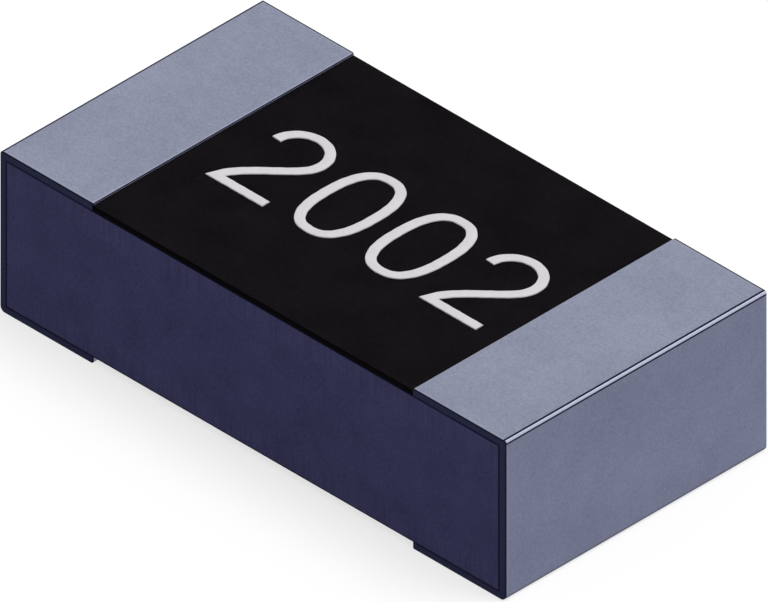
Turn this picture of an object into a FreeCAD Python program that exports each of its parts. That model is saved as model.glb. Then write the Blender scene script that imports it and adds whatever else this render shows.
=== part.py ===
import FreeCAD, Part
import os
import Sketcher

# Thick-film chip resistor, 1.6 mm size. Millimetres, +X along the chip, +Z up from the board.
# The origin is the middle of the ceramic chip, where a placement machine and a board drawing take
# the part's position. Layers are named and stacked in the order in which the real part is printed,
# fired, dipped and plated.

SIZES = {
    # ceramic chip
    "substrate_length": 1.60,
    "substrate_width": 0.85,
    "substrate_thickness": 0.41,
    # printed silver pads
    "top_electrode_thickness": 0.005,
    "top_electrode_lap": 0.07,  # how far each front pad runs in under the overcoat
    "bottom_electrode_thickness": 0.005,
    "bottom_electrode_length": 0.268,
    # dipped conductor that joins the front pad to the back pad round the end of the chip
    "end_electrode_thickness": 0.008,
    "end_wrap_thickness": 0.003,
    "end_wrap_length": 0.10,
    # plated layers
    "nickel_thickness": 0.005,
    "tin_thickness": 0.007,
    "tin_top_corner_radius": 0.008,
    "tin_bottom_corner_radius": 0.015,
    "tin_lip_radius": 0.004,
    "tin_side_radius": 0.002,
    # resistive film and the glass over it
    "film_width": 0.62,
    "film_thickness": 0.004,
    "film_lap": 0.04,  # how far the film lies on top of each front pad
    "glass_thickness": 0.003,
    "glass_side_margin": 0.04,
    "glass_end_setback": 0.01,
    # laser cut that sets the resistance: in from one long edge, then along the chip
    "trim_kerf": 0.03,
    "trim_start": -0.14,
    "trim_runout": 0.02,
    "trim_plunge": 0.27,
    "trim_leg": 0.24,
    # black resin over the middle
    "overcoat_length": 1.04,
    "overcoat_cover": 0.002,  # resin over the highest point of the glass
    "overcoat_edge_radius": 0.004,
}

doc = FreeCAD.newDocument("chip_resistor")
sheet = doc.addObject("Spreadsheet::Sheet", "sizes")
for row, (alias, size) in enumerate(SIZES.items(), 1):
    sheet.set(f"A{row}", alias.replace("_", " "))
    sheet.set(f"B{row}", str(size))
    sheet.setAlias(f"B{row}", alias)
doc.recompute()


def total(*aliases):
    """An expression that adds up cells of the sheet."""
    return "(" + " + ".join(f"sizes.{alias}" for alias in aliases) + ")"


def value(expression):
    """What an expression comes to now, as a number."""
    return float(sheet.evalExpression(expression))


# Levels, from the middle of the ceramic.
UNDERSIDE = "(-sizes.substrate_thickness / 2)"
CERAMIC_TOP = "(sizes.substrate_thickness / 2)"
TOP_PAD_TOP = f"({CERAMIC_TOP} + sizes.top_electrode_thickness)"
FILM_HIGH = f"({TOP_PAD_TOP} + sizes.film_thickness)"
FILM_LOW = f"({CERAMIC_TOP} + sizes.film_thickness)"
GLASS_HIGH = f"({FILM_HIGH} + sizes.glass_thickness)"
GLASS_LOW = f"({FILM_LOW} + sizes.glass_thickness)"
OVERCOAT_TOP = f"({GLASS_HIGH} + sizes.overcoat_cover)"

# Stations along the chip, from its middle towards one end.
CHIP_END = "(sizes.substrate_length / 2)"
OVERCOAT_END = "(sizes.overcoat_length / 2)"
TOP_PAD_INNER = f"({OVERCOAT_END} - sizes.top_electrode_lap)"
FILM_STEP = f"({TOP_PAD_INNER} - sizes.film_thickness)"
FILM_END = f"({TOP_PAD_INNER} + sizes.film_lap)"
GLASS_STEP = f"({FILM_STEP} - sizes.glass_thickness)"
GLASS_END = f"({FILM_END} - sizes.glass_end_setback)"
BACK_PAD_INNER = f"({CHIP_END} - sizes.bottom_electrode_length)"

# The plating grows over the long edges of the pads until it is flush with the chip's sides.
PLATING = total("nickel_thickness", "tin_thickness")
NICKEL_WIDTH = "(sizes.substrate_width - 2 * sizes.tin_thickness)"
PAD_WIDTH = f"(sizes.substrate_width - 2 * {PLATING})"
GLASS_WIDTH = "(sizes.film_width + 2 * sizes.glass_side_margin)"


def new_body(label):
    body = doc.addObject("PartDesign::Body", label)
    body.Label = label
    return body


def draw_outline(sketch, corners):
    """A closed outline of straight lines. Each corner is a pair of expressions from the origin."""
    points = [FreeCAD.Vector(value(across), value(up), 0) for across, up in corners]
    for i, point in enumerate(points):
        sketch.addGeometry(Part.LineSegment(point, points[(i + 1) % len(points)]), False)
    for i, (across, up) in enumerate(corners):
        sketch.addConstraint(Sketcher.Constraint("Coincident", i - 1 if i else len(points) - 1, 2, i, 1))
        for kind, place, expression in (("DistanceX", points[i].x, across), ("DistanceY", points[i].y, up)):
            number = sketch.addConstraint(Sketcher.Constraint(kind, -1, 1, i, 1, place))
            sketch.setExpression(f"Constraints[{number}]", expression)


def padded_profile(label, corners, width):
    """A body made by padding an outline in the XZ plane to both sides of it."""
    body = new_body(label)
    sketch = body.newObject("Sketcher::SketchObject", f"{label}_profile")
    plane = next(f for f in body.Origin.OriginFeatures if f.Role == "XZ_Plane")
    sketch.AttachmentSupport = [(plane, "")]
    sketch.MapMode = "FlatFace"
    draw_outline(sketch, corners)
    pad = body.newObject("PartDesign::Pad", f"{label}_pad")
    pad.Profile = sketch
    pad.Midplane = True
    pad.setExpression("Length", width)
    doc.recompute()
    return body


def round_edges(body, name, picked, radius):
    """Rounds the edges of the body's last feature that picked(edge) holds for."""
    base = body.Tip
    names = [f"Edge{i}" for i, edge in enumerate(base.Shape.Edges, 1) if picked(edge)]
    fillet = body.newObject("PartDesign::Fillet", f"{body.Label}_{name}")
    fillet.Base = (base, names)
    fillet.setExpression("Radius", radius)
    doc.recompute()


def lies_at(edge, **place):
    """Whether the whole edge lies at the given x, y or z."""
    box = edge.BoundBox
    near = 1e-6
    spans = {"x": (box.XMin, box.XMax), "y": (box.YMin, box.YMax), "z": (box.ZMin, box.ZMax)}
    return all(abs(end - at) < near for axis, at in place.items() for end in spans[axis])


def cut_away(label, blank, tools):
    """What is left of a blank where the earlier layers already are."""
    fused = doc.addObject("Part::MultiFuse", f"{label}_earlier_layers")
    fused.Shapes = tools
    made = doc.addObject("Part::Cut", label)
    made.Label = label
    made.Base = blank
    made.Tool = fused
    doc.recompute()
    return made


def make_substrate():
    """Alumina chip: a plain block, snapped out of a scored plate."""
    corners = [("-" + CHIP_END, UNDERSIDE), (CHIP_END, UNDERSIDE)]
    corners += [(CHIP_END, CERAMIC_TOP), ("-" + CHIP_END, CERAMIC_TOP)]
    return padded_profile("ceramic_substrate", corners, "sizes.substrate_width")


def turn_to(side, body):
    """Drawn at the right-hand end. The left-hand one is the same, turned half round about Z."""
    if side == "left":
        body.Placement.Rotation = FreeCAD.Rotation(FreeCAD.Vector(0, 0, 1), 180)


def make_top_electrode(side):
    """Silver-palladium pad on top of one end, running in under the overcoat."""
    corners = [(TOP_PAD_INNER, CERAMIC_TOP), (CHIP_END, CERAMIC_TOP)]
    corners += [(CHIP_END, TOP_PAD_TOP), (TOP_PAD_INNER, TOP_PAD_TOP)]
    body = padded_profile(f"top_electrode_{side}", corners, PAD_WIDTH)
    turn_to(side, body)
    return body


def make_bottom_electrode(side):
    """Silver pad under one end."""
    low = f"({UNDERSIDE} - sizes.bottom_electrode_thickness)"
    corners = [(BACK_PAD_INNER, low), (CHIP_END, low), (CHIP_END, UNDERSIDE), (BACK_PAD_INNER, UNDERSIDE)]
    body = padded_profile(f"bottom_electrode_{side}", corners, PAD_WIDTH)
    turn_to(side, body)
    return body


def clasp(label, top_start, bottom_start, reach, rise, drop, width):
    """A C-shaped layer round one end of the ceramic. Its arms start at top_start and bottom_start,
    it reaches past the end face, rises above the ceramic's top and drops below its underside."""
    out = f"({CHIP_END} + {reach})"
    high = f"({CERAMIC_TOP} + {rise})"
    low = f"({UNDERSIDE} - {drop})"
    corners = [(top_start, CERAMIC_TOP), (top_start, high), (out, high), (out, low)]
    corners += [(bottom_start, low), (bottom_start, UNDERSIDE), (CHIP_END, UNDERSIDE), (CHIP_END, CERAMIC_TOP)]
    body = padded_profile(label, corners, width)
    return body, value(out), value(high), value(low)


def make_end_electrode(side, pads):
    """Dipped silver-resin conductor over the end face, lapping onto the front and back pads."""
    label = f"end_electrode_{side}"
    start = f"({CHIP_END} - sizes.end_wrap_length)"
    rise = total("top_electrode_thickness", "end_wrap_thickness")
    drop = total("bottom_electrode_thickness", "end_wrap_thickness")
    reach = "sizes.end_electrode_thickness"
    blank, out, high, low = clasp(f"{label}_blank", start, start, reach, rise, drop, PAD_WIDTH)
    round_edges(blank, "corners", lambda e: lies_at(e, x=out, z=high) or lies_at(e, x=out, z=low),
                "sizes.end_wrap_thickness")
    turn_to(side, blank)
    return cut_away(label, blank, pads)


def make_nickel_barrier(side, inner_layers):
    """Plated nickel over every conductor that shows, up to the end of the overcoat."""
    label = f"nickel_barrier_{side}"
    bottom_start = f"({BACK_PAD_INNER} - sizes.nickel_thickness)"
    rise = total("top_electrode_thickness", "end_wrap_thickness", "nickel_thickness")
    drop = total("bottom_electrode_thickness", "end_wrap_thickness", "nickel_thickness")
    reach = total("end_electrode_thickness", "nickel_thickness")
    blank, out, high, low = clasp(
        f"{label}_blank", OVERCOAT_END, bottom_start, reach, rise, drop, NICKEL_WIDTH
    )
    round_edges(blank, "corners", lambda e: lies_at(e, x=out, z=high) or lies_at(e, x=out, z=low),
                "sizes.nickel_thickness")
    turn_to(side, blank)
    return cut_away(label, blank, inner_layers)


def make_tin_termination(side, inner_layers):
    """Plated tin over the nickel, rounded at the end of the chip and along every free edge."""
    label = f"tin_termination_{side}"
    bottom_start = f"({BACK_PAD_INNER} - {PLATING})"
    rise = f"({total('top_electrode_thickness', 'end_wrap_thickness')} + {PLATING})"
    drop = f"({total('bottom_electrode_thickness', 'end_wrap_thickness')} + {PLATING})"
    reach = f"(sizes.end_electrode_thickness + {PLATING})"
    blank, out, high, low = clasp(
        f"{label}_blank", OVERCOAT_END, bottom_start, reach, rise, drop, "sizes.substrate_width"
    )
    round_edges(blank, "top_corner", lambda e: lies_at(e, x=out, z=high), "sizes.tin_top_corner_radius")
    round_edges(blank, "bottom_corner", lambda e: lies_at(e, x=out, z=low), "sizes.tin_bottom_corner_radius")
    top_lip, bottom_lip = value(OVERCOAT_END), value(bottom_start)
    round_edges(blank, "lips", lambda e: lies_at(e, x=top_lip, z=high) or lies_at(e, x=bottom_lip, z=low),
                "sizes.tin_lip_radius")
    side_y = value("sizes.substrate_width / 2")
    roof, floor, end = value(CERAMIC_TOP), value(UNDERSIDE), value(CHIP_END)

    def is_free_side_edge(edge):
        on_side = lies_at(edge, y=side_y) or lies_at(edge, y=-side_y)
        on_ceramic = lies_at(edge, z=roof) or lies_at(edge, z=floor) or lies_at(edge, x=end)
        return on_side and not on_ceramic

    round_edges(blank, "sides", is_free_side_edge, "sizes.tin_side_radius")
    turn_to(side, blank)
    return cut_away(label, blank, inner_layers)


def stepped_layer(label, end, step, high, low, width):
    """A printed layer across the middle that climbs onto the front pads at both ends."""
    corners = [(end, CERAMIC_TOP), (end, high), (step, high), (step, low)]
    corners += [("-" + step, low), ("-" + step, high), ("-" + end, high), ("-" + end, CERAMIC_TOP)]
    return padded_profile(label, corners, width)


def make_laser_trim():
    """The L-shaped path of the trimming laser, as wide as its round spot, down to the ceramic."""
    spot = "(sizes.trim_kerf / 2)"
    edge = "(sizes.film_width / 2)"
    depth = f"({OVERCOAT_TOP} - {CERAMIC_TOP})"
    start = ("sizes.trim_start", f"(-{edge} - sizes.trim_runout)")
    turn = ("sizes.trim_start", f"(-{edge} + sizes.trim_plunge)")
    finish = ("(sizes.trim_start + sizes.trim_leg)", turn[1])
    plunge = doc.addObject("Part::Box", "trim_plunge")
    plunge.setExpression("Length", "sizes.trim_kerf")
    plunge.setExpression("Width", total("trim_runout", "trim_plunge"))
    plunge.setExpression("Placement.Base.x", f"{start[0]} - {spot}")
    plunge.setExpression("Placement.Base.y", start[1])
    leg = doc.addObject("Part::Box", "trim_leg")
    leg.setExpression("Length", "sizes.trim_leg")
    leg.setExpression("Width", "sizes.trim_kerf")
    leg.setExpression("Placement.Base.x", turn[0])
    leg.setExpression("Placement.Base.y", f"{turn[1]} - {spot}")
    shapes = [plunge, leg]
    for name, (along, across) in (("start", start), ("turn", turn), ("finish", finish)):
        disc = doc.addObject("Part::Cylinder", f"trim_{name}")
        disc.setExpression("Radius", spot)
        disc.setExpression("Placement.Base.x", along)
        disc.setExpression("Placement.Base.y", across)
        shapes.append(disc)
    for shape in shapes:
        shape.setExpression("Height", depth)
        shape.setExpression("Placement.Base.z", CERAMIC_TOP)
    path = doc.addObject("Part::MultiFuse", "laser_trim")
    path.Shapes = shapes
    doc.recompute()
    return path


def make_overcoat(earlier_layers):
    """Black resin between the terminations, as wide as the chip, level on top."""
    corners = [("-" + OVERCOAT_END, CERAMIC_TOP), (OVERCOAT_END, CERAMIC_TOP)]
    corners += [(OVERCOAT_END, OVERCOAT_TOP), ("-" + OVERCOAT_END, OVERCOAT_TOP)]
    blank = padded_profile("protective_overcoat_blank", corners, "sizes.substrate_width")
    side_y, high = value("sizes.substrate_width / 2"), value(OVERCOAT_TOP)
    round_edges(blank, "edges", lambda e: lies_at(e, y=side_y, z=high) or lies_at(e, y=-side_y, z=high),
                "sizes.overcoat_edge_radius")
    return cut_away("protective_overcoat", blank, earlier_layers)


substrate = make_substrate()
top_pads = {side: make_top_electrode(side) for side in ("left", "right")}
film_blank = stepped_layer("resistive_film_blank", FILM_END, FILM_STEP, FILM_HIGH, FILM_LOW, "sizes.film_width")
glass_blank = stepped_layer("glass_coat_blank", GLASS_END, GLASS_STEP, GLASS_HIGH, GLASS_LOW, GLASS_WIDTH)
trim = make_laser_trim()
film = cut_away("resistive_film", film_blank, [*top_pads.values(), trim])
glass = cut_away("glass_coat", glass_blank, [*top_pads.values(), film_blank, trim])
overcoat = make_overcoat([*top_pads.values(), film, glass])
pieces = [substrate, *top_pads.values(), film, glass, overcoat]
for side, top_pad in top_pads.items():
    bottom_pad = make_bottom_electrode(side)
    end_electrode = make_end_electrode(side, [top_pad, bottom_pad])
    nickel = make_nickel_barrier(side, [top_pad, bottom_pad, end_electrode])
    tin = make_tin_termination(side, [top_pad, bottom_pad, end_electrode, nickel])
    pieces += [bottom_pad, end_electrode, nickel, tin]

doc.recompute()
for item in doc.Objects:
    if {"Invalid", "Error"} & set(item.State):
        raise RuntimeError(f"{item.Label} did not build: {item.State}")
for piece in pieces:
    if piece.Shape.isNull() or not piece.Shape.isValid() or len(piece.Shape.Solids) != 1:
        raise RuntimeError(f"{piece.Label} is not one sound solid")

os.makedirs("parts", exist_ok=True)
for piece in pieces:
    piece.Shape.exportStep(f"parts/{piece.Label}.step")
    box = piece.Shape.BoundBox
    print(f"{piece.Label}: {piece.Shape.Volume:.6f} mm3, "
          f"{box.XLength:.3f} x {box.YLength:.3f} x {box.ZLength:.3f}")
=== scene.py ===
import math

import bpy
import numpy as np
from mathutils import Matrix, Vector


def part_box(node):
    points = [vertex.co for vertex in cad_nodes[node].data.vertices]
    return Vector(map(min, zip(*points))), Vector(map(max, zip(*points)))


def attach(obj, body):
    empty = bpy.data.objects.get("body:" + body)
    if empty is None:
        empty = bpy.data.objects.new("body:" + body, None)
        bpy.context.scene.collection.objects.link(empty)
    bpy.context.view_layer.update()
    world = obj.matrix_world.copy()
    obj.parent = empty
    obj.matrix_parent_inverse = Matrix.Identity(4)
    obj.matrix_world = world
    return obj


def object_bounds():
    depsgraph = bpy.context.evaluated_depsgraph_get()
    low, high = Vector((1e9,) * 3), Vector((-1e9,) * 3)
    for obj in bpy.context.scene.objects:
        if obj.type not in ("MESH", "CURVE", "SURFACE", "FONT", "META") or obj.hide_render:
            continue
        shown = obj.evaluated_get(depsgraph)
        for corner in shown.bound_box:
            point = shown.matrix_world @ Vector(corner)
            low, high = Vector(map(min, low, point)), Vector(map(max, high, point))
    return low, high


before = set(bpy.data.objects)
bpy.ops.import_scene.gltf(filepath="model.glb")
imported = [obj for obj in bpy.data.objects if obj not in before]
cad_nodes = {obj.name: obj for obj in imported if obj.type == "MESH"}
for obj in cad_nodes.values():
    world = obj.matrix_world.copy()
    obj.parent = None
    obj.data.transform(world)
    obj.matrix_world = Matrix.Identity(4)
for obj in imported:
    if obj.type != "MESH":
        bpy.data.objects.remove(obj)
cad_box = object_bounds()

# The camera.
# The picture is a corner view without perspective: half way round from the long side to the end, and
# as far above the board as shortens all three directions alike. The chip fills the picture's width.
CORNER_AZIMUTH = math.radians(45)
CORNER_ELEVATION = math.atan(math.sqrt(0.5))
CAMERA_DISTANCE = 0.010
PICTURE_WIDTH_PX = 768
SIDE_MARGIN = 1.0014
OFF_CENTRE_PX = (0.54, -0.40)

low_corner, high_corner = cad_box
chip_centre = (low_corner + high_corner) / 2
chip_size = high_corner - low_corner
towards_camera = Vector((
    math.sin(CORNER_AZIMUTH) * math.cos(CORNER_ELEVATION),
    -math.cos(CORNER_AZIMUTH) * math.cos(CORNER_ELEVATION),
    math.sin(CORNER_ELEVATION),
))
seen_width = (chip_size.x + chip_size.y) * math.cos(CORNER_AZIMUTH)

camera_data = bpy.data.cameras.new("camera")
camera_data.type = "ORTHO"
camera_data.ortho_scale = seen_width * SIDE_MARGIN
camera_data.shift_x = OFF_CENTRE_PX[0] / PICTURE_WIDTH_PX
camera_data.shift_y = OFF_CENTRE_PX[1] / PICTURE_WIDTH_PX
camera_data.clip_start = CAMERA_DISTANCE / 10
camera_data.clip_end = CAMERA_DISTANCE * 10
camera = bpy.data.objects.new("camera", camera_data)
camera.location = chip_centre + towards_camera * CAMERA_DISTANCE
camera.rotation_mode = "QUATERNION"
camera.rotation_quaternion = towards_camera.to_track_quat("Z", "Y")
bpy.context.scene.collection.objects.link(camera)
bpy.context.scene.camera = camera
bpy.context.scene.view_settings.view_transform = "Standard"


# The floor and the light.
# A plain white sheet under one large soft lamp, which stands high over the right end, in an even pale
# surround. Seen directly or mirrored the surround is white, but it lights the chip at a plain level.
FLOOR_HALF_WIDTH = 0.050
FLOOR_BOUNCE = 0.28
FLOOR_SHADED = 0.70
FLOOR_SHADOW_DEPTH = 0.33
SURROUND_LIGHT = 0.50
LAMP_DIRECTION = Vector((0.32, 0.20, 0.93))
LAMP_LIGHT = 0.54
LAMP_SPREAD = math.radians(30)


class Shade:
    """One socket of a node tree. Arithmetic on it adds Math nodes, so a pattern reads as a formula."""

    def __init__(self, tree, socket=None):
        self.tree = tree
        self.socket = socket

    def node(self, kind, inputs, output=0, **settings):
        """A new node of this kind. Its settings are set first, then its inputs, by name or number."""
        made = self.tree.nodes.new("ShaderNode" + kind)
        for name, value in settings.items():
            setattr(made, name, value)
        for name, value in inputs.items():
            if isinstance(value, Shade):
                self.tree.links.new(value.socket, made.inputs[name])
            else:
                made.inputs[name].default_value = value
        return Shade(self.tree, made.outputs[output]) if made.outputs else None

    def also(self, output):
        """Another output of the same node."""
        return Shade(self.tree, self.socket.node.outputs[output])

    def maths(self, operation, *values):
        """The result of a Math node with this operation on these values."""
        return self.node("Math", dict(enumerate(values)), operation=operation)

    def __add__(self, other):
        return self.maths("ADD", self, other)

    def __sub__(self, other):
        return self.maths("SUBTRACT", self, other)

    def __rsub__(self, other):
        return self.maths("SUBTRACT", other, self)

    def __mul__(self, other):
        return self.maths("MULTIPLY", self, other)

    def __abs__(self):
        return self.maths("ABSOLUTE", self)

    def __lt__(self, other):
        return self.maths("LESS_THAN", self, other)

    def __gt__(self, other):
        return self.maths("GREATER_THAN", self, other)

    __radd__ = __add__
    __rmul__ = __mul__

    def sine(self):
        return self.maths("SINE", self)

    def or_more(self, other):
        return self.maths("MAXIMUM", self, other)

    def or_less(self, other):
        return self.maths("MINIMUM", self, other)

    def rise(self, low, high):
        """0 below low and 1 above high, with a smooth step between them."""
        limits = {"Value": self, "From Min": low, "From Max": high}
        return self.node("MapRange", limits, interpolation_type="SMOOTHSTEP")

    def blend(self, colour_at_0, colour_at_1):
        """The first colour where this value is 0, the second where it is 1."""
        ends = {0: self, 6: colour_at_0, 7: colour_at_1}
        return self.node("Mix", ends, output=2, data_type="RGBA")


def seen_or_mirrored(start):
    """1 for what the camera sees directly, mirrored or through glass, and 0 for what lights the chip."""
    path = start.node("LightPath", {}, output="Is Camera Ray")
    return path.or_more(path.also("Is Glossy Ray")).or_more(path.also("Is Transmission Ray"))


def grey(level):
    """A colour with this much of red, green and blue."""
    return (level, level, level, 1.0)


surround = bpy.data.worlds.new("pale_surround")
surround.use_nodes = True
surround.node_tree.nodes.clear()
start = Shade(surround.node_tree)
plain_light = start.node("Background", {"Color": grey(1.0), "Strength": SURROUND_LIGHT})
white_backdrop = start.node("Background", {"Color": grey(1.0), "Strength": 1.0})
chosen = start.node("MixShader", {0: seen_or_mirrored(start), 1: plain_light, 2: white_backdrop})
start.node("OutputWorld", {"Surface": chosen})
bpy.context.scene.world = surround

floor_paper = bpy.data.materials.new("white_paper")
floor_paper.use_nodes = True
floor_paper.node_tree.nodes.clear()
start = Shade(floor_paper.node_tree)
bounce = start.node("BsdfDiffuse", {"Color": grey(FLOOR_BOUNCE)})
shadowed = start.node("BsdfDiffuse", {"Color": grey(FLOOR_SHADOW_DEPTH)})
lifted = start.node("Emission", {"Color": grey(FLOOR_SHADED), "Strength": 1.0})
paper_white = start.node("AddShader", {0: shadowed, 1: lifted})
chosen = start.node("MixShader", {0: seen_or_mirrored(start), 1: bounce, 2: paper_white})
start.node("OutputMaterial", {"Surface": chosen})

floor_mesh = bpy.data.meshes.new("floor")
floor_corners = [(x, y, low_corner.z) for x, y in ((-1, -1), (1, -1), (1, 1), (-1, 1))]
floor_corners = [(x * FLOOR_HALF_WIDTH, y * FLOOR_HALF_WIDTH, z) for x, y, z in floor_corners]
floor_mesh.from_pydata(floor_corners, [], [(0, 1, 2, 3)])
floor_mesh.materials.append(floor_paper)
floor = bpy.data.objects.new("floor", floor_mesh)
bpy.context.scene.collection.objects.link(floor)

lamp_data = bpy.data.lights.new("soft_lamp", "SUN")
lamp_data.energy = LAMP_LIGHT * math.pi
lamp_data.angle = LAMP_SPREAD
lamp = bpy.data.objects.new("soft_lamp", lamp_data)
lamp.rotation_mode = "QUATERNION"
lamp.rotation_quaternion = LAMP_DIRECTION.to_track_quat("Z", "Y")
bpy.context.scene.collection.objects.link(lamp)


# The ceramic chip.
# Dark fired alumina, scored on both faces by a laser and snapped out of a large plate: the long sides
# are smooth and finely streaked near their edges, where the beam went in, and granular between them.
MICRON = 1e-6
CERAMIC_NAVY = (52, 52, 90)
CERAMIC_LIGHT = (84, 84, 128)
CERAMIC_SEAM_SHADE = (0, 0, 40)
CERAMIC_GRAIN = 7 * MICRON
CERAMIC_CLOUD = 90 * MICRON
SCORE_DEPTH = 75 * MICRON
STREAK_WIDTH = 9 * MICRON
STREAK_LENGTH = 160 * MICRON
PORE_SPACING = 21 * MICRON
PORE_RADIUS = 4.5 * MICRON
PORE_SHARE = 0.2
SEAM_SHADE_WIDTH = 6 * MICRON
CERAMIC_RELIEF = 0.35 * MICRON


def painted(display_colour, level=1.0):
    """Red, green and blue as a screen shows them, 0 to 255, as the linear colour of a surface.
    Below 0.04045 a screen value is 12.92 times the linear one; above, the linear one is
    ((value + 0.055) / 1.055) to the power 2.4."""
    values = np.array(display_colour) / 255
    linear = np.where(values <= 0.04045, values / 12.92, ((values + 0.055) / 1.055) ** 2.4)
    return (*(linear * level).tolist(), 1.0)


def new_finish(name):
    """An empty material of this name, and the Object coordinates that its patterns start from."""
    material = bpy.data.materials.new(name)
    material.use_nodes = True
    material.node_tree.nodes.clear()
    return material, Shade(material.node_tree).node("TexCoord", {}, output="Object")


def stretched(place, *sizes):
    """The place counted in sizes along X, Y and Z, so that a pattern of size 1 gets those lengths."""
    counts = tuple(1 / size for size in sizes)
    return place.node("VectorMath", {0: place, 1: counts}, operation="MULTIPLY")


def noise(place, size, detail=2.0):
    """Soft noise about 0, mostly within 0.25 either way, with lumps about this size."""
    inputs = {"Vector": place, "Scale": 1 / size, "Detail": detail}
    return place.node("TexNoise", inputs) - 0.5


def spots(place, spacing, radius, share):
    """1 at the middle of a few scattered round spots and 0 outside them. share is how many of the
    cells, one per spacing, have a spot, and a second lot makes some of the spots fainter."""
    inputs = {"Vector": place, "Scale": 1 / spacing}
    cells = place.node("TexVoronoi", inputs)
    lot = place.node("SeparateColor", {"Color": cells.also("Color")})
    inside = 1 - cells.rise(0.4 * radius / spacing, radius / spacing)
    return inside * (lot < share) * lot.also("Green")


def finished(place, base, roughness, height, relief, metallic=0.0, gloss=0.5):
    """The surface itself: the height pattern stands up to relief proud, as a bump."""
    bump = place.node("Bump", {"Height": height, "Distance": relief, "Strength": 1.0})
    inputs = {"Base Color": base, "Roughness": roughness, "Metallic": metallic,
              "Specular IOR Level": gloss, "Normal": bump}
    skin = place.node("BsdfPrincipled", inputs)
    place.node("OutputMaterial", {"Surface": skin})


def dress(material, *node_names):
    """Gives this material to the CAD nodes of these names."""
    for name in node_names:
        cad_nodes[name].material_slots[0].material = material


ceramic, place = new_finish("dark_alumina")
ceramic_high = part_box("ceramic_substrate")[1]
x = place.node("SeparateXYZ", {"Vector": place})
z = x.also("Z")
grain = noise(place, CERAMIC_GRAIN, 3.0)
cloud = noise(place, CERAMIC_CLOUD)
scored = abs(z).rise(ceramic_high.z - SCORE_DEPTH, ceramic_high.z - SCORE_DEPTH * 0.7)
streaks = noise(stretched(place, STREAK_WIDTH, STREAK_WIDTH, STREAK_LENGTH), 1.0) * scored
pores = spots(place, PORE_SPACING, PORE_RADIUS, PORE_SHARE) * (1 - scored)
# Painted shade in a thin line along the chip's ends and its top and bottom edges.
edge_distance = (ceramic_high.x - abs(x)).or_less(ceramic_high.z - abs(z))
seam_shade = 1 - edge_distance.rise(0.3 * SEAM_SHADE_WIDTH, 0.8 * SEAM_SHADE_WIDTH)
lightness = 0.5 + grain * 1.1 + cloud * 0.6 + streaks * 0.8 - pores * 0.6
tone = lightness.blend(painted(CERAMIC_NAVY), painted(CERAMIC_LIGHT))
tone = seam_shade.blend(tone, painted(CERAMIC_SEAM_SHADE))
roughness = 0.62 + grain * 0.3 - scored * 0.05
height = grain * (1 - scored * 0.7) + streaks * 0.6 - pores
finished(place, tone, roughness, height, CERAMIC_RELIEF, gloss=0.05)
dress(ceramic, "ceramic_substrate")


# The printed silver pads.
# Silver paste is printed and fired on both faces at each end: plain silver below, for soldering, and
# silver with palladium above, which the film sits on. Plating and overcoat hide them.
SILVER = (196, 194, 188)
SILVER_PALLADIUM = (174, 172, 168)
PASTE_GRAIN = 5 * MICRON
PASTE_PATCH = 60 * MICRON
PASTE_PORE_SPACING = 12 * MICRON
PASTE_PORE_RADIUS = 3 * MICRON
PASTE_PORE_SHARE = 0.4
PASTE_RELIEF = 0.4 * MICRON


def fired_paste(name, colour, metal):
    """Fired metal paste: sintered grains with open pores between them, dull where they are rough.
    metal is how much of the surface is bare metal."""
    material, place = new_finish(name)
    grains = noise(place, PASTE_GRAIN, 4.0)
    pores = spots(place, PASTE_PORE_SPACING, PASTE_PORE_RADIUS, PASTE_PORE_SHARE)
    patches = noise(place, PASTE_PATCH)
    lightness = 0.6 + grains * 0.8 + patches * 0.6 - pores * 0.6
    tone = lightness.blend(painted(colour, 0.6), painted(colour))
    roughness = 0.42 + patches * 0.3 + pores * 0.3
    finished(place, tone, roughness, grains - pores, PASTE_RELIEF, metal)
    return material


printed_silver = fired_paste("printed_silver", SILVER, 0.9)
dress(printed_silver, "bottom_electrode_left", "bottom_electrode_right")
silver_palladium = fired_paste("silver_palladium", SILVER_PALLADIUM, 0.9)
dress(silver_palladium, "top_electrode_left", "top_electrode_right")


# The resistive film.
# Ruthenium oxide in glass, printed across both top pads and fired to a dark satin layer. A laser has
# cut an L into it to raise its resistance.
FILM_BLACK = (38, 38, 41)
FILM_GREY = (62, 62, 66)
FILM_GRAIN = 6 * MICRON
PRINT_MARK = 70 * MICRON
FILM_RELIEF = 0.3 * MICRON
film, place = new_finish("ruthenium_film")
grains = noise(place, FILM_GRAIN, 4.0)
print_marks = noise(place, PRINT_MARK)
tone = (0.4 + grains * 0.8 + print_marks * 0.8).blend(painted(FILM_BLACK), painted(FILM_GREY))
finished(place, tone, 0.38 + grains * 0.25, grains + print_marks * 2, FILM_RELIEF)
dress(film, "resistive_film")


# The glass coat.
# A thin green lead-free glass, screen printed and fired over the film before the laser cuts it. It
# keeps the sides of the cut clean, and the overcoat hides it.
GLASS_GREEN = (52, 92, 74)
GLASS_DEEP = (30, 62, 50)
GLASS_FLOW = 110 * MICRON
BUBBLE_SPACING = 30 * MICRON
BUBBLE_RADIUS = 4 * MICRON
BUBBLE_SHARE = 0.35
GLASS_RELIEF = 0.3 * MICRON
glass, place = new_finish("green_glass")
flow = noise(place, GLASS_FLOW)
bubbles = spots(place, BUBBLE_SPACING, BUBBLE_RADIUS, BUBBLE_SHARE)
tone = (0.5 + flow * 1.6 - bubbles * 0.4).blend(painted(GLASS_DEEP), painted(GLASS_GREEN))
roughness = 0.16 + bubbles * 0.3 + flow * 0.1
finished(place, tone, roughness, flow * 2 - bubbles, GLASS_RELIEF)
dress(glass, "glass_coat")


# The end conductors.
# Silver-filled resin, dipped over each end of the chip and cured, joins the pad on top to the pad
# underneath. The plating hides it.
SILVER_RESIN = (158, 156, 152)
silver_resin = fired_paste("silver_resin", SILVER_RESIN, 0.6)
dress(silver_resin, "end_electrode_left", "end_electrode_right")


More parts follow.
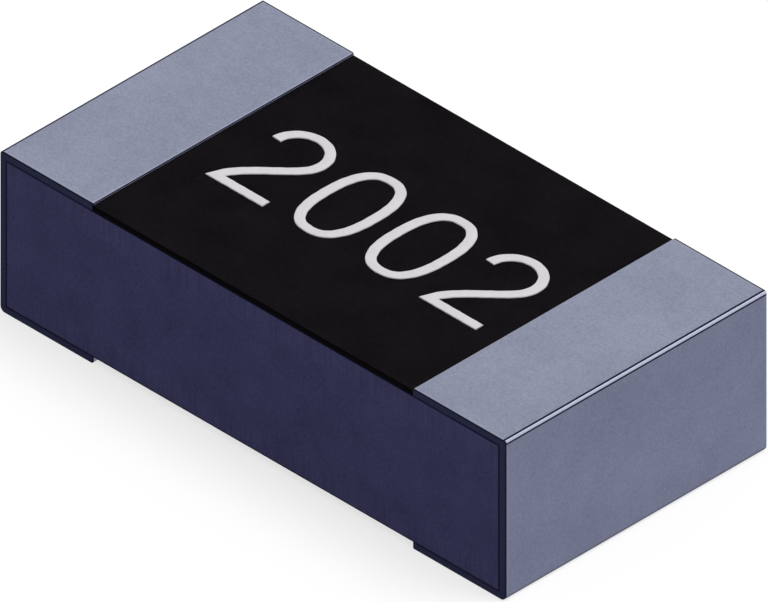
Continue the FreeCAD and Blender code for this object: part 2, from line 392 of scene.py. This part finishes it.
# The nickel.
# Electroplated over the pads and the end conductors, as the barrier that solder can't eat through.
# The tin hides it.
NICKEL = (186, 180, 168)
NICKEL_GRAIN = 4 * MICRON
NICKEL_PATCH = 80 * MICRON
NICKEL_RELIEF = 0.15 * MICRON
nickel, place = new_finish("plated_nickel")
grains = noise(place, NICKEL_GRAIN, 3.0)
patches = noise(place, NICKEL_PATCH)
tone = (0.5 + grains * 0.7 + patches).blend(painted(NICKEL, 0.75), painted(NICKEL))
finished(place, tone, 0.30 + grains * 0.2, grains + patches, NICKEL_RELIEF, metallic=0.95)
dress(nickel, "nickel_barrier_left", "nickel_barrier_right")


# The tin.
# Matte tin, barrel plated with steel shot: a fine frosted grain with soft dents. The upper rounded
# edges are rubbed and carry a painted highlight between two thin lines of painted shade, and the lip
# beside the overcoat a little, above one. The lower edges carry painted shade, the end faces a faint
# painted cool shade, and the undercut faces of the bottom pads are painted light. The plating's edges
# on the long sides are painted in shade, with a painted glint just inside them.
TIN = (109, 113, 132)
TIN_LIGHT = (163, 167, 189)
TIN_END_COOL_SHADE = (110, 120, 204)
TIN_RUBBED_HIGHLIGHT = (191, 196, 216)
TIN_UNDERCUT_LIGHT = (238, 240, 252)
TIN_LINE_SHADE = (5, 9, 42)
TIN_SIDE_SHADE = (28, 32, 62)
TIN_SIDE_SHADE_PALER = (44, 48, 86)
TIN_SEAM_SHADE = (0, 0, 40)
TIN_EDGE_SHADE = (8, 9, 34)
TIN_GRAIN = 7 * MICRON
TIN_MOTTLE = 28 * MICRON
TIN_CLOUD = 150 * MICRON
SHOT_DENT = 55 * MICRON
SCRATCH_WIDTH = 5 * MICRON
SCRATCH_LENGTH = 180 * MICRON
TIN_RELIEF = 0.3 * MICRON
BARE_METAL = 0.22
HIGHLIGHT_FROM = -3.2 * MICRON
HIGHLIGHT_TO = 6.6 * MICRON
SHADE_LINES_FROM = -9.3 * MICRON
SHADE_LINES_TO = 11.6 * MICRON
LOWER_LINE_SHADE = 0.6
LIP_RADIUS = 4 * MICRON
DARK_SIDE = 2.8 * MICRON
WIDER_FAR_SIDE = 1.8 * MICRON
DARK_END_SIDE = 5.0 * MICRON
SIDE_GLINT = 5.2 * MICRON
DARK_RIM = 2.6 * MICRON
LINE_BLUR = 0.7 * MICRON


def between(value, low, high, blur):
    """1 where the value lies between low and high and 0 elsewhere, with soft steps blur wide each way."""
    return value.rise(low - blur, low + blur) * (1 - value.rise(high - blur, high + blur))


def facing(place, axis):
    """1 on faces that look along this axis, either way, and 0 on faces that look across it."""
    normal = place.node("SeparateXYZ", {"Vector": place.also("Normal")})
    return abs(normal.also(axis)).rise(0.3, 0.8)


tin, place = new_finish("matte_tin")
tin_low, tin_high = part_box("tin_termination_right")
x = place.node("SeparateXYZ", {"Vector": place})
y = x.also("Y")
z = x.also("Z")
facing_end = facing(place, "X")
facing_side = facing(place, "Y")
upper = z.rise(-MICRON, MICRON)
at_end = abs(x) > (tin_low.x + tin_high.x) / 2
inner_step = facing_end * (1 - at_end)

# Over the outer edge: on the level face minus the distance to the end, on the end the distance down.
round_the_corner = (abs(x) - abs(z)) - (tin_high.x - tin_high.z)
rubbed_highlight = between(round_the_corner, HIGHLIGHT_FROM, HIGHLIGHT_TO, LINE_BLUR) * upper
shade_lines = between(round_the_corner, SHADE_LINES_FROM, SHADE_LINES_TO, LINE_BLUR) - rubbed_highlight

# Over the lip: on the level face the distance to the step, on the step minus the distance down.
round_the_lip = (abs(x) - tin_low.x) - (tin_high.z - abs(z))
lip_highlight = between(round_the_lip, 0.0, LIP_RADIUS, LINE_BLUR) * upper
lip_shade_line = between(round_the_lip, -LIP_RADIUS, 0.0, LINE_BLUR) * upper

# The painted shade of the long sides comes a few microns over their edges, and not at all on to the far
# end.
far = y.rise(0, MICRON)
level_width = DARK_SIDE + far * WIDER_FAR_SIDE
end_width = DARK_END_SIDE - far * (DARK_END_SIDE + LINE_BLUR)
dark_width = level_width + facing_end * (end_width - level_width)
past_the_dark = tin_high.y - abs(y) - dark_width
side_shade = 1 - past_the_dark.rise(-LINE_BLUR, LINE_BLUR)
side_glint = between(past_the_dark, 0.0, SIDE_GLINT, LINE_BLUR)
off_the_ceramic = (abs(x) - ceramic_high.x).or_more(abs(z) - ceramic_high.z)
seam_shade = (1 - off_the_ceramic.rise(0.3 * SEAM_SHADE_WIDTH, 0.7 * SEAM_SHADE_WIDTH)) * side_shade
rim_shade = 1 - (tin_high.z - abs(z)).rise(DARK_RIM - LINE_BLUR, DARK_RIM + LINE_BLUR)

grain = noise(place, TIN_GRAIN, 3.0)
mottle = noise(place, TIN_MOTTLE)
cloud = noise(place, TIN_CLOUD)
dents = place.node("TexVoronoi", {"Vector": place, "Scale": 1 / SHOT_DENT}, feature="SMOOTH_F1")
brushed = stretched(place, SCRATCH_LENGTH, SCRATCH_WIDTH, SCRATCH_WIDTH)
scratches = noise(brushed, 1.0, 1.0).rise(0.14, 0.26)
lightness = 0.5 + grain * 0.7 + mottle * 0.25 + cloud * 0.35 + scratches * 0.12
tone = lightness.blend(painted(TIN), painted(TIN_LIGHT))
# A faint painted cool shade on the end faces.
tone = (facing_end * at_end * 0.10).blend(tone, painted(TIN_END_COOL_SHADE))
# A painted glint just in from the long sides, and a faint painted highlight on the lip.
tone = (side_glint * 0.10 + lip_highlight * 0.15).blend(tone, painted(TIN_RUBBED_HIGHLIGHT))
# A painted highlight along the rubbed upper edges.
tone = (rubbed_highlight * (0.95 + grain * 0.5)).blend(tone, painted(TIN_RUBBED_HIGHLIGHT))
# Thin lines of painted shade beside that highlight and the lip, and painted shade on the lower edges.
line_shade = shade_lines * (LOWER_LINE_SHADE + upper * (1 - LOWER_LINE_SHADE)) + lip_shade_line * 0.95
tone = line_shade.blend(tone, painted(TIN_LINE_SHADE))
# The undercut faces of the bottom pads painted light.
tone = (inner_step * (1 - upper)).blend(tone, painted(TIN_UNDERCUT_LIGHT))
# The long sides painted in shade, with darker painted shade lines along their outer edges and a few
# microns onto the level and end faces.
side_shade_tone = lightness.blend(painted(TIN_SIDE_SHADE), painted(TIN_SIDE_SHADE_PALER))
tone = side_shade.blend(tone, (facing_side * (1 - rim_shade)).blend(painted(TIN_EDGE_SHADE), side_shade_tone))
# Painted shade in the joint where the tin meets the chip.
tone = seam_shade.blend(tone, painted(TIN_SEAM_SHADE))
roughness = 0.50 + grain * 0.3 + mottle * 0.15 - rubbed_highlight * 0.08
height = grain + mottle * 0.8 + dents * 1.2 - scratches * 0.3
finished(place, tone, roughness, height, TIN_RELIEF, BARE_METAL * (1 - side_shade), gloss=0.06)
dress(tin, "tin_termination_left", "tin_termination_right")


# The overcoat.
# Black resin screen printed between the ends over film and glass, and cured. It keeps a faint trace
# of the screen's mesh, and fine filler shows in it. Its long sides are painted near black, as shade.
OVERCOAT_BLACK = (7, 5, 8)
OVERCOAT_GREY = (27, 24, 28)
OVERCOAT_SIDE_SHADE = (3, 2, 4)
OVERCOAT_GRAIN = 6 * MICRON
OVERCOAT_CLOUD = 120 * MICRON
FILLER_SPACING = 14 * MICRON
FILLER_RADIUS = 3 * MICRON
FILLER_SHARE = 0.25
SCREEN_PITCH = 62 * MICRON
SCREEN_ANGLE = math.radians(22.5)
OVERCOAT_RELIEF = 0.5 * MICRON
overcoat, place = new_finish("black_resin")
grain = noise(place, OVERCOAT_GRAIN, 3.0)
cloud = noise(place, OVERCOAT_CLOUD)
turned = place.node("Mapping", {"Vector": place, "Rotation": (0.0, 0.0, SCREEN_ANGLE)})
u = turned.node("SeparateXYZ", {"Vector": turned})
thread = 2 * math.pi / SCREEN_PITCH
mesh_trace = (u * thread).sine() * (u.also("Y") * thread).sine()
filler = spots(place, FILLER_SPACING, FILLER_RADIUS, FILLER_SHARE)
lightness = 0.38 + grain + cloud * 0.9 + filler * 0.5
tone = lightness.blend(painted(OVERCOAT_BLACK), painted(OVERCOAT_GREY))
# The long sides painted near black, as shade.
tone = facing(place, "Y").blend(tone, painted(OVERCOAT_SIDE_SHADE))
roughness = 0.56 + grain * 0.25 + cloud * 0.2
height = grain * 0.6 + mesh_trace * 0.15 + cloud * 1.5
finished(place, tone, roughness, height, OVERCOAT_RELIEF, gloss=0.01)
dress(overcoat, "protective_overcoat")


# The marking.
# A resistance code in white ink, printed on the overcoat in plain upright figures: three digits and
# the number of noughts after them. The ink stands a few microns proud with rounded shoulders.
MARKING = "2002"
FIGURE_HEIGHT = 293 * MICRON
FIGURE_WIDTH = 183 * MICRON
FIGURE_PITCH = 231 * MICRON
FIGURE_MIDDLE_Y = -6 * MICRON
MARKING_MIDDLE_X = 13.5 * MICRON
UPRIGHT_STROKE = 28 * MICRON
LEVEL_STROKE = 25 * MICRON
INK_THICKNESS = 3.5 * MICRON
INK_SUNK = 0.2 * MICRON
SHOULDER = 2 * MICRON
SHOULDER_POINTS = 5
POINT_SPACING = 4 * MICRON
OVAL_POWER = 2.5
EDGE_WANDER = 0.2 * MICRON
EDGE_WAVES = (47 * MICRON, 29 * MICRON)
EDGE_WAVE_PHASES = (0.0, 2.1)
SHARP_FROM = math.radians(35)
INK_WHITE = (222, 218, 221)
INK_DULL = (206, 202, 206)
INK_GRAIN = 5 * MICRON
INK_CLOUD = 45 * MICRON
PINHOLE_SPACING = 22 * MICRON
PINHOLE_RADIUS = 2.2 * MICRON
PINHOLE_SHARE = 0.2
INK_RELIEF = 0.3 * MICRON


def evenly_spaced(line, spacing):
    """The same line with points at equal steps: each coordinate is read off against the length so far."""
    steps = np.hypot(*np.diff(line, axis=0).T)
    length_so_far = np.concatenate(([0.0], np.cumsum(steps)))
    wanted = np.linspace(0.0, length_so_far[-1], round(length_so_far[-1] / spacing) + 1)
    return np.column_stack([np.interp(wanted, length_so_far, line[:, axis]) for axis in (0, 1)])


def nought():
    """The centre line of a 0: a closed oval with flattened sides, on which |x / a| to the oval's power
    plus |y / b| to the same power is 1."""
    a = (FIGURE_WIDTH - UPRIGHT_STROKE) / 2
    b = (FIGURE_HEIGHT - LEVEL_STROKE) / 2
    turn = np.linspace(0.0, 2 * math.pi, 721)
    across = a * np.sign(np.cos(turn)) * np.abs(np.cos(turn)) ** (2 / OVAL_POWER)
    up = b * np.sign(np.sin(turn)) * np.abs(np.sin(turn)) ** (2 / OVAL_POWER)
    return evenly_spaced(np.column_stack([across, up]), POINT_SPACING)[:-1]


def two():
    """The centre line of a 2: an elliptical arc over the top, a cubic curve down to the lower left
    corner, and a straight base. The cubic from A to D is (1-t)^3 A + 3(1-t)^2 t B + 3(1-t) t^2 C + t^3 D.
    It leaves A towards B, along the arc's end, and comes to D from C."""
    level = (FIGURE_HEIGHT - LEVEL_STROKE) / 2
    radius_x = 75 * MICRON
    radius_y = 70 * MICRON
    middle_y = level - radius_y
    arc_from = math.radians(178)
    arc_to = math.radians(-28)
    leaving_pull = 50 * MICRON
    arriving = np.array([-16 * MICRON, -62 * MICRON])
    corner = np.array([-74 * MICRON, -level])
    base_end = np.array([FIGURE_WIDTH / 2, -level])

    turn = np.linspace(arc_from, arc_to, 200)
    bowl = np.column_stack([radius_x * np.cos(turn), middle_y + radius_y * np.sin(turn)])
    leaving = np.array([math.sin(arc_to) * radius_x, -math.cos(arc_to) * radius_y])
    leaving = leaving / np.hypot(*leaving) * leaving_pull
    t = np.linspace(0.0, 1.0, 200)[:, None]
    pull_1 = bowl[-1] + leaving
    pull_2 = corner - arriving
    fall = ((1 - t) ** 3 * bowl[-1] + 3 * (1 - t) ** 2 * t * pull_1
            + 3 * (1 - t) * t ** 2 * pull_2 + t ** 3 * corner)
    curve = evenly_spaced(np.vstack([bowl, fall[1:]]), POINT_SPACING)
    base = evenly_spaced(np.vstack([corner, base_end]), POINT_SPACING)
    near_corner = math.ceil(UPRIGHT_STROKE / POINT_SPACING * 0.75)
    return np.vstack([curve[:-near_corner], corner, base[near_corner:]])


def ink_stroke(line, closed, phase):
    """A bead of ink along a flat centre line, as its points, its four-cornered sides and, on an open
    line, its two ends. Across the line the bead is flat on top, and its shoulders are quarter circles
    of radius r: half width - r + r cos a to the side, and thickness - r + r sin a up. At a bend of the
    line the two sides meet on the bisector."""
    if closed:
        steps = np.roll(line, -1, axis=0) - line
        before = np.roll(steps, 1, axis=0)
        after = steps
    else:
        steps = np.diff(line, axis=0)
        before = np.vstack([steps[:1], steps])
        after = np.vstack([steps, steps[-1:]])
    before = before / np.hypot(*before.T)[:, None]
    after = after / np.hypot(*after.T)[:, None]
    left_before = np.column_stack([-before[:, 1], before[:, 0]])
    left_after = np.column_stack([-after[:, 1], after[:, 0]])
    cosine = np.sum(left_before * left_after, axis=1)
    to_left = (left_before + left_after) / (1 + cosine)[:, None]
    upright = (before[:, 1] + after[:, 1]) ** 2 / 4
    half_width = (LEVEL_STROKE + (UPRIGHT_STROKE - LEVEL_STROKE) * upright) / 2

    count = len(line)
    walked = np.arange(count) * POINT_SPACING
    whole = count * POINT_SPACING
    turns = np.round(whole / np.array(EDGE_WAVES))
    starts = phase + np.array(EDGE_WAVE_PHASES)
    waves = np.sin(2 * math.pi * turns * walked[:, None] / whole + starts)
    wander = EDGE_WANDER * waves.sum(axis=1)
    left_edge = half_width + wander
    right_edge = half_width - np.roll(wander, count // 3)

    angle = np.linspace(0.0, math.pi / 2, SHOULDER_POINTS)
    inset = SHOULDER * (1 - np.cos(angle))
    rise = INK_THICKNESS - SHOULDER * (1 - np.sin(angle))
    inset = np.concatenate(([0.0], inset, inset[::-1], [0.0]))
    rise = np.concatenate(([0.0], rise, rise[::-1], [0.0]))
    side = np.where(np.arange(len(inset)) < len(inset) // 2, 1.0, -1.0)
    edge = np.where(side > 0, left_edge[:, None], right_edge[:, None])
    sideways = side * (edge - inset)
    flat = line[:, None, :] + sideways[:, :, None] * to_left[:, None, :]
    up = np.broadcast_to(rise, sideways.shape)
    points = np.concatenate([flat, up[:, :, None]], axis=2).reshape(-1, 3)

    rings, profile = sideways.shape
    i, j = np.meshgrid(np.arange(rings if closed else rings - 1), np.arange(profile), indexing="ij")
    next_i = (i + 1) % rings
    next_j = (j + 1) % profile
    corners = [i * profile + j, i * profile + next_j, next_i * profile + next_j, next_i * profile + j]
    sides = np.stack(corners, axis=-1).reshape(-1, 4)
    first_ring = np.arange(profile)
    last_ring = first_ring + (rings - 1) * profile
    no_ends = np.empty((0, profile), int)
    ends = no_ends if closed else np.stack([first_ring[::-1], last_ring])
    return points, sides, ends


overcoat_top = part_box("protective_overcoat")[1].z
marking_points = []
marking_faces = []
points_so_far = 0
for number, figure in enumerate(MARKING):
    line = nought() if figure == "0" else two()
    points, sides, ends = ink_stroke(line, figure == "0", phase=1.7 * number)
    middle_x = MARKING_MIDDLE_X + (number - (len(MARKING) - 1) / 2) * FIGURE_PITCH
    marking_points.append(points + [middle_x, FIGURE_MIDDLE_Y, overcoat_top - INK_SUNK])
    marking_faces += (sides + points_so_far).tolist() + (ends + points_so_far).tolist()
    points_so_far += len(points)

ink, place = new_finish("white_ink")
grain = noise(place, INK_GRAIN, 3.0)
cloud = noise(place, INK_CLOUD)
pinholes = spots(place, PINHOLE_SPACING, PINHOLE_RADIUS, PINHOLE_SHARE)
tone = (0.5 + grain * 0.8 + cloud * 0.8 - pinholes).blend(painted(INK_DULL), painted(INK_WHITE))
height = grain + cloud - pinholes * 0.5
finished(place, tone, 0.60 + grain * 0.2, height, INK_RELIEF, gloss=0.2)

marking_mesh = bpy.data.meshes.new("marking_ink")
marking_mesh.from_pydata(np.vstack(marking_points).tolist(), [], marking_faces)
marking_mesh.materials.append(ink)
marking_mesh.shade_smooth()
marking_mesh.set_sharp_from_angle(angle=SHARP_FROM)
marking = bpy.data.objects.new("marking_ink", marking_mesh)
bpy.context.scene.collection.objects.link(marking)
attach(marking, "root")
